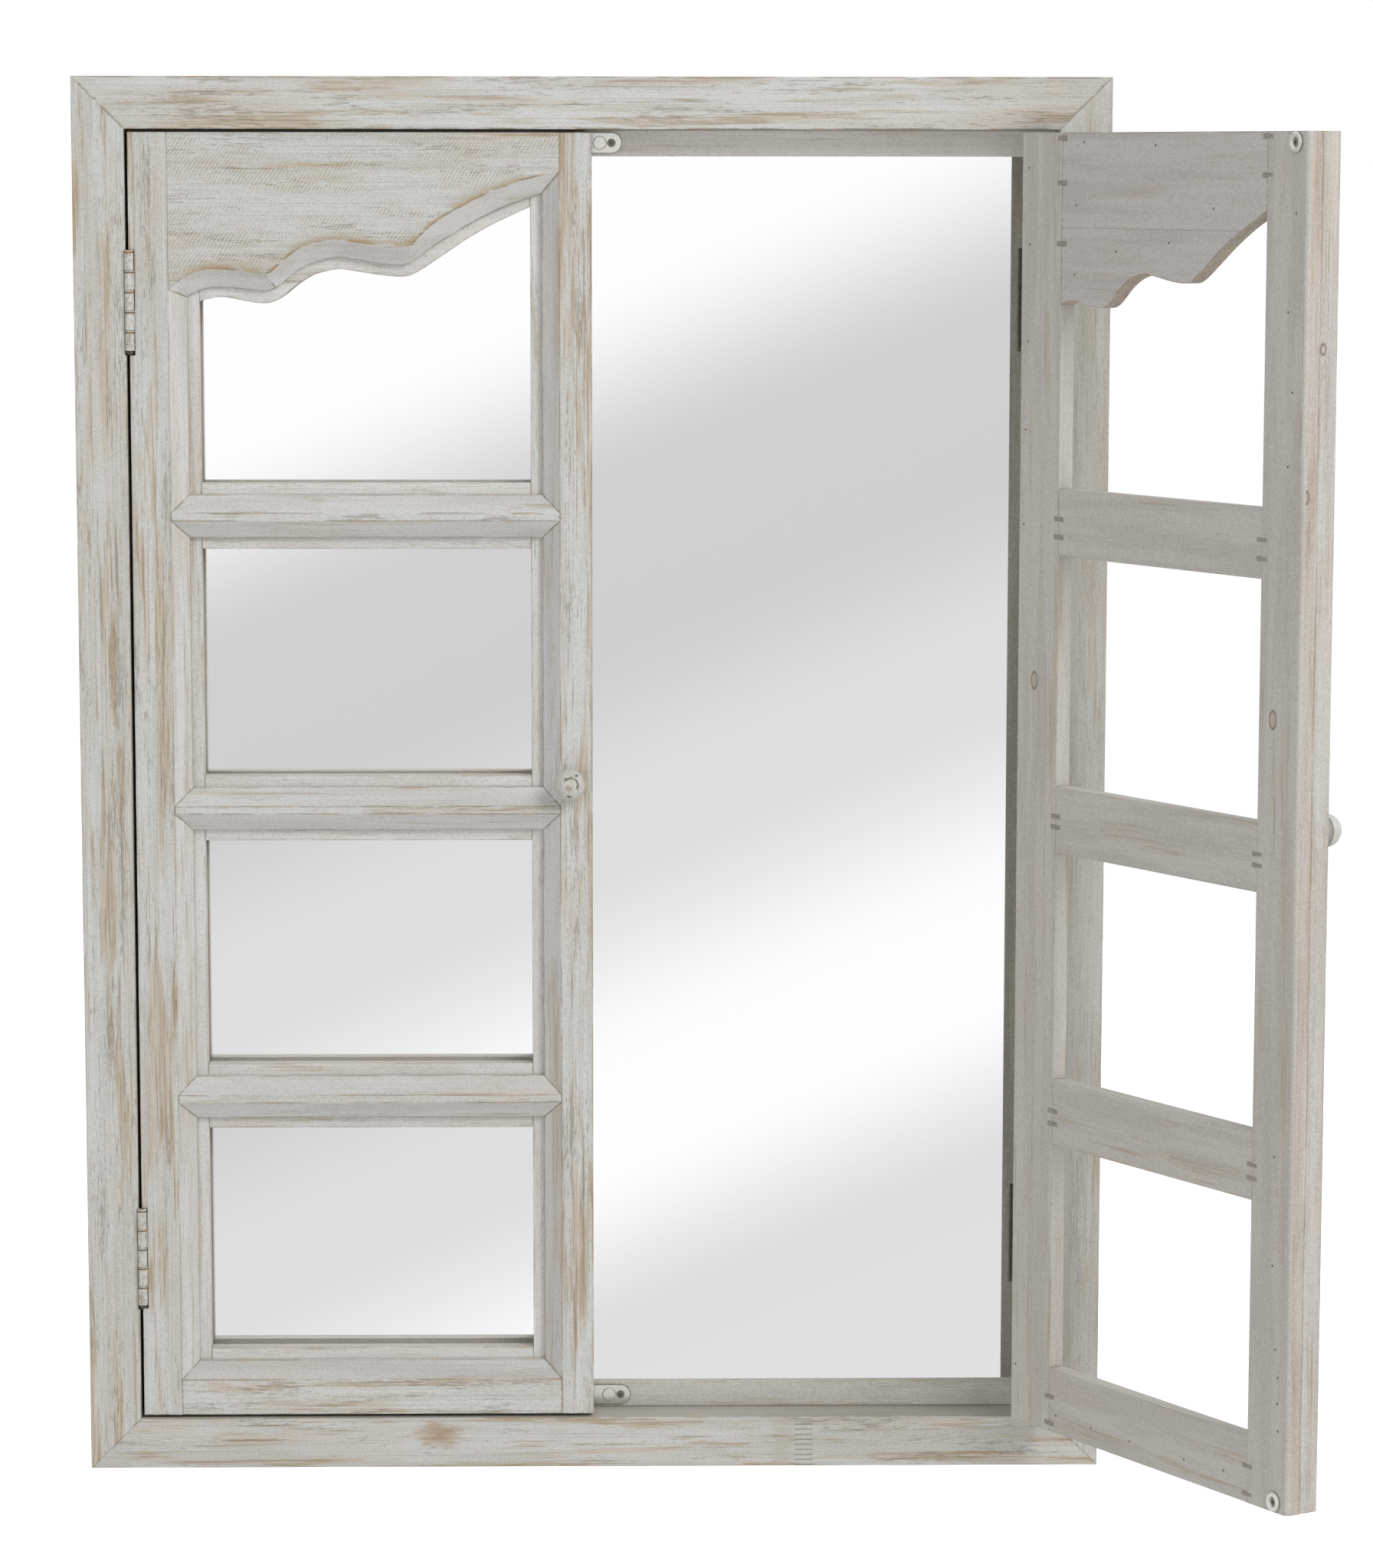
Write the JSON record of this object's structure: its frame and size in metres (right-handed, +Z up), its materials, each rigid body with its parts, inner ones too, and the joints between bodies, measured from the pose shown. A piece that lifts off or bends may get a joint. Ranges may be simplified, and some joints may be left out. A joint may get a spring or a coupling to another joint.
{
  "type": "shutter mirror",
  "caption": "Wall mirror in a deep mitred wooden frame behind a pair of hinged two-layer shutters with chamfered open panes and a wavy arched head, knobs and magnetic catches.",
  "frame": {"origin": "midway between the centres of the two hanging holes' round ends, on the wall plane, which is the back of the frame", "axes": "+X to the right as seen from the front, +Y from the front into the wall, +Z up. The shutters face -Y."},
  "size_m": [0.7798, 0.3124, 0.902],
  "materials": {
    "whitewashed_wood": "thin warm-grey whitewash, rubbed back to bare softwood along edges and grain",
    "plain_painted_wood": "plainer and greyer thin paint with saw marks",
    "silvered_glass": "clear float glass, silvered on its back",
    "hardboard": "unpainted pressed board",
    "zinc_steel": "dull zinc plate",
    "nickel_steel": "bright nickel plate",
    "dark_steel": "bare steel, darkened and rusty",
    "painted_steel": "brushed over with the whitewash, rust at the joints"
  },
  "bodies": {
    "frame": {"frame_top": "whitewashed_wood", "frame_bottom": "whitewashed_wood", "frame_left": "whitewashed_wood", "frame_right": "whitewashed_wood", "stop_top": "plain_painted_wood", "stop_bottom": "plain_painted_wood", "stop_left": "plain_painted_wood", "stop_right": "plain_painted_wood", "mirror_glass": "silvered_glass", "back_board": "hardboard", "retaining_tabs": "zinc_steel", "hanging_plates": "zinc_steel", "hanging_screws": "zinc_steel", "mitre_fasteners": "dark_steel", "catch_plates": "nickel_steel", "catch_magnets": "nickel_steel", "catch_screws": "zinc_steel", "hinge_frame_leaves": "painted_steel", "hinge_pins": "dark_steel", "hinge_frame_screws": "painted_steel"},
    "left_door": {"left_back_hinge_stile": "plain_painted_wood", "left_back_meeting_stile": "plain_painted_wood", "left_back_top_panel": "plain_painted_wood", "left_back_upper_rail": "plain_painted_wood", "left_back_middle_rail": "plain_painted_wood", "left_back_lower_rail": "plain_painted_wood", "left_back_bottom_rail": "plain_painted_wood", "left_front_hinge_stile": "whitewashed_wood", "left_front_meeting_stile": "whitewashed_wood", "left_front_top_panel": "whitewashed_wood", "left_upper_muntin": "whitewashed_wood", "left_middle_muntin": "whitewashed_wood", "left_lower_muntin": "whitewashed_wood", "left_front_bottom_rail": "whitewashed_wood", "left_knob": "whitewashed_wood", "left_strike_cups": "nickel_steel", "left_shutter_screws": "zinc_steel", "left_corrugated_fasteners": "dark_steel", "left_hinge_leaves": "painted_steel"},
    "right_door": {"right_back_hinge_stile": "plain_painted_wood", "right_back_meeting_stile": "plain_painted_wood", "right_back_top_panel": "plain_painted_wood", "right_back_upper_rail": "plain_painted_wood", "right_back_middle_rail": "plain_painted_wood", "right_back_lower_rail": "plain_painted_wood", "right_back_bottom_rail": "plain_painted_wood", "right_front_hinge_stile": "whitewashed_wood", "right_front_meeting_stile": "whitewashed_wood", "right_front_top_panel": "whitewashed_wood", "right_upper_muntin": "whitewashed_wood", "right_middle_muntin": "whitewashed_wood", "right_lower_muntin": "whitewashed_wood", "right_front_bottom_rail": "whitewashed_wood", "right_knob": "whitewashed_wood", "right_strike_cups": "nickel_steel", "right_shutter_screws": "zinc_steel", "right_corrugated_fasteners": "dark_steel", "right_hinge_leaves": "painted_steel"}
  },
  "joints": [
    {"name": "left_door_hinge", "type": "hinge", "parent": "frame", "child": "left_door", "pos_m": [-0.2947, -0.046, -0.341], "axis": [0, 0, -1], "range_deg": [0, 180]},
    {"name": "right_door_hinge", "type": "hinge", "parent": "frame", "child": "right_door", "pos_m": [0.2947, -0.046, -0.341], "axis": [0, 0, 1], "range_deg": [-120, 60]}
  ]
}
